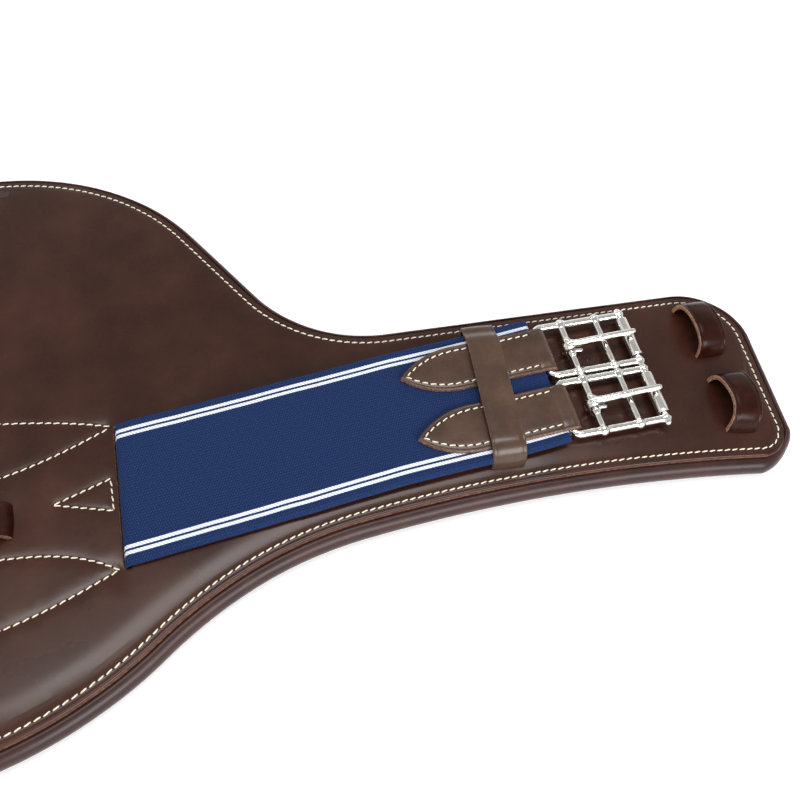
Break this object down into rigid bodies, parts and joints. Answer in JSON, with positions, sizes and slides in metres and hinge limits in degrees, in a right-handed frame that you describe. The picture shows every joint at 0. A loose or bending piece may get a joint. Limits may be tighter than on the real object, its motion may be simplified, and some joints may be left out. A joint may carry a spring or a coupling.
{
  "type": "saddle girth",
  "caption": "Short leather stud girth with a rounded belly plate, striped elastic at both ends, roller buckles on stitched chapes, and keeper and billet loops.",
  "frame": {"origin": "on the underside, at the girth's centre, on the line that the elastics pull along", "axes": "+X along the girth towards one pair of buckles, +Y towards the belly plate, +Z away from the horse"},
  "size_m": [0.8854, 0.3386, 0.0286],
  "materials": {
    "panel_leather": "smooth dark brown bridle leather, soft sheen",
    "lining_leather": "soft purplish brown leather, semi-gloss",
    "strap_leather": "smooth dark brown strap leather",
    "loop_leather": "glossy dark red-brown strap leather",
    "elastic_fabric": "navy ribbed elastic webbing with white stripes",
    "web_fabric": "undyed webbing",
    "foam": "closed-cell foam",
    "polished_steel": "mirror polished stainless steel"
  },
  "bodies": {
    "girth": {"lining": "lining_leather", "foam_pad": "foam", "load_web": "web_fabric", "outer_panel": "panel_leather", "keeper_band_right": "strap_leather", "keeper_band_left": "strap_leather", "billet_loop_right_rear": "loop_leather", "billet_loop_right_front": "loop_leather", "billet_loop_left_rear": "loop_leather", "billet_loop_left_front": "loop_leather", "centre_loop": "loop_leather"},
    "end_right": {"elastic_right": "elastic_fabric", "chape_right_rear": "strap_leather", "chape_right_front": "strap_leather"},
    "frame_right_rear": {"buckle_frame_right_rear": "polished_steel"},
    "tongue_right_rear": {"tongue_right_rear": "polished_steel"},
    "roller_right_rear": {"roller_right_rear": "polished_steel"},
    "frame_right_front": {"buckle_frame_right_front": "polished_steel"},
    "tongue_right_front": {"tongue_right_front": "polished_steel"},
    "roller_right_front": {"roller_right_front": "polished_steel"},
    "end_left": {"elastic_left": "elastic_fabric", "chape_left_rear": "strap_leather", "chape_left_front": "strap_leather"},
    "frame_left_rear": {"buckle_frame_left_rear": "polished_steel"},
    "tongue_left_rear": {"tongue_left_rear": "polished_steel"},
    "roller_left_rear": {"roller_left_rear": "polished_steel"},
    "frame_left_front": {"buckle_frame_left_front": "polished_steel"},
    "tongue_left_front": {"tongue_left_front": "polished_steel"},
    "roller_left_front": {"roller_left_front": "polished_steel"}
  },
  "joints": [
    {"name": "stretch_right", "type": "slide", "parent": "girth", "child": "end_right", "axis": [1, 0, 0], "range_m": [0, 0.025], "stiffness_N_per_m": 4000, "deforming": ["elastic_right"]},
    {"name": "buckle_lift_right_rear", "type": "hinge", "parent": "end_right", "child": "frame_right_rear", "pos_m": [0.3195, 0.0349, 0.01965], "axis": [0, -1, 0], "range_deg": [0, 75]},
    {"name": "tongue_lift_right_rear", "type": "hinge", "parent": "frame_right_rear", "child": "tongue_right_rear", "pos_m": [0.3349, 0.0349, 0.01965], "axis": [0, -1, 0], "range_deg": [0, 100]},
    {"name": "roller_turn_right_rear", "type": "hinge", "parent": "frame_right_rear", "child": "roller_right_rear", "pos_m": [0.3695, 0.0349, 0.01965], "axis": [0, 1, 0], "continuous": true},
    {"name": "buckle_lift_right_front", "type": "hinge", "parent": "end_right", "child": "frame_right_front", "pos_m": [0.3195, -0.0015, 0.01965], "axis": [0, -1, 0], "range_deg": [0, 75]},
    {"name": "tongue_lift_right_front", "type": "hinge", "parent": "frame_right_front", "child": "tongue_right_front", "pos_m": [0.3349, -0.0015, 0.01965], "axis": [0, -1, 0], "range_deg": [0, 100]},
    {"name": "roller_turn_right_front", "type": "hinge", "parent": "frame_right_front", "child": "roller_right_front", "pos_m": [0.3695, -0.0015, 0.01965], "axis": [0, 1, 0], "continuous": true},
    {"name": "stretch_left", "type": "slide", "parent": "girth", "child": "end_left", "axis": [-1, 0, 0], "range_m": [0, 0.025], "stiffness_N_per_m": 4000, "deforming": ["elastic_left"]},
    {"name": "buckle_lift_left_rear", "type": "hinge", "parent": "end_left", "child": "frame_left_rear", "pos_m": [-0.3195, 0.0349, 0.01965], "axis": [0, 1, 0], "range_deg": [0, 75]},
    {"name": "tongue_lift_left_rear", "type": "hinge", "parent": "frame_left_rear", "child": "tongue_left_rear", "pos_m": [-0.3349, 0.0349, 0.01965], "axis": [0, 1, 0], "range_deg": [0, 100]},
    {"name": "roller_turn_left_rear", "type": "hinge", "parent": "frame_left_rear", "child": "roller_left_rear", "pos_m": [-0.3695, 0.0349, 0.01965], "axis": [0, -1, 0], "continuous": true},
    {"name": "buckle_lift_left_front", "type": "hinge", "parent": "end_left", "child": "frame_left_front", "pos_m": [-0.3195, -0.0015, 0.01965], "axis": [0, 1, 0], "range_deg": [0, 75]},
    {"name": "tongue_lift_left_front", "type": "hinge", "parent": "frame_left_front", "child": "tongue_left_front", "pos_m": [-0.3349, -0.0015, 0.01965], "axis": [0, 1, 0], "range_deg": [0, 100]},
    {"name": "roller_turn_left_front", "type": "hinge", "parent": "frame_left_front", "child": "roller_left_front", "pos_m": [-0.3695, -0.0015, 0.01965], "axis": [0, -1, 0], "continuous": true}
  ]
}
